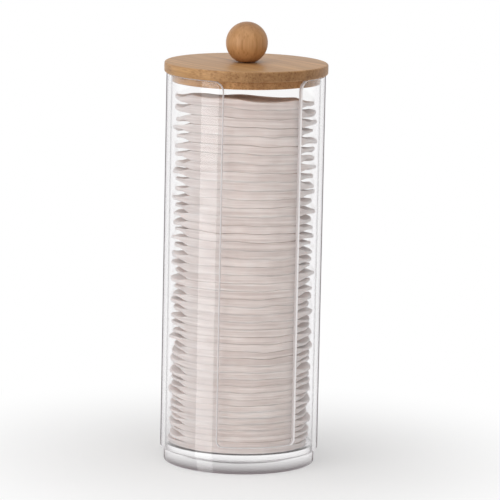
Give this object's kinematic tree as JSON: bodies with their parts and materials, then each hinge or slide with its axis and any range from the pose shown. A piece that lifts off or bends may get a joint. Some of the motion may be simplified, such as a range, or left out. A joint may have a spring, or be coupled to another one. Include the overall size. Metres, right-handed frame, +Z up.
{
  "type": "cotton pad holder",
  "caption": "Clear round canister with a tall open front slot, a stepped foot and a wooden lid with a ball knob, filled with a stack of round cotton pads.",
  "frame": {"origin": "middle of the flat underside of the foot", "axes": "+Z up along the tube's axis, -Y out through the front slot, +X to the right seen from the front"},
  "size_m": [0.07, 0.07, 0.1905],
  "materials": {
    "clear_plastic": "clear, polished",
    "lid_bamboo": "satin, sealed bamboo",
    "knob_bamboo": "satin, sealed bamboo",
    "screw_steel": "zinc plated",
    "cotton": "soft pressed cotton"
  },
  "bodies": {
    "canister": {"canister_tube": "clear_plastic", "base": "clear_plastic"},
    "lid": {"lid": "lid_bamboo", "knob": "knob_bamboo", "knob_screw": "screw_steel"},
    "pad_stack": {"cotton_pad_01": "cotton", "cotton_pad_02": "cotton", "cotton_pad_03": "cotton", "cotton_pad_04": "cotton", "cotton_pad_05": "cotton", "cotton_pad_06": "cotton", "cotton_pad_07": "cotton", "cotton_pad_08": "cotton", "cotton_pad_09": "cotton", "cotton_pad_10": "cotton", "cotton_pad_11": "cotton", "cotton_pad_12": "cotton", "cotton_pad_13": "cotton", "cotton_pad_14": "cotton", "cotton_pad_15": "cotton", "cotton_pad_16": "cotton", "cotton_pad_17": "cotton", "cotton_pad_18": "cotton", "cotton_pad_19": "cotton", "cotton_pad_20": "cotton", "cotton_pad_21": "cotton", "cotton_pad_22": "cotton", "cotton_pad_23": "cotton", "cotton_pad_24": "cotton", "cotton_pad_25": "cotton", "cotton_pad_26": "cotton", "cotton_pad_27": "cotton", "cotton_pad_28": "cotton", "cotton_pad_29": "cotton", "cotton_pad_30": "cotton", "cotton_pad_31": "cotton", "cotton_pad_32": "cotton", "cotton_pad_33": "cotton", "cotton_pad_34": "cotton", "cotton_pad_35": "cotton", "cotton_pad_36": "cotton", "cotton_pad_37": "cotton", "cotton_pad_38": "cotton", "cotton_pad_39": "cotton", "cotton_pad_40": "cotton", "cotton_pad_41": "cotton", "cotton_pad_42": "cotton", "cotton_pad_43": "cotton", "cotton_pad_44": "cotton", "cotton_pad_45": "cotton", "cotton_pad_46": "cotton"}
  },
  "joints": [
    {"name": "lid_lift", "type": "slide", "parent": "canister", "child": "lid", "axis": [0, 0, 1], "range_m": [0, 0.06]},
    {"name": "pad_lift", "type": "slide", "parent": "canister", "child": "pad_stack", "axis": [0, 0, 1], "range_m": [0, 0.0045]}
  ]
}
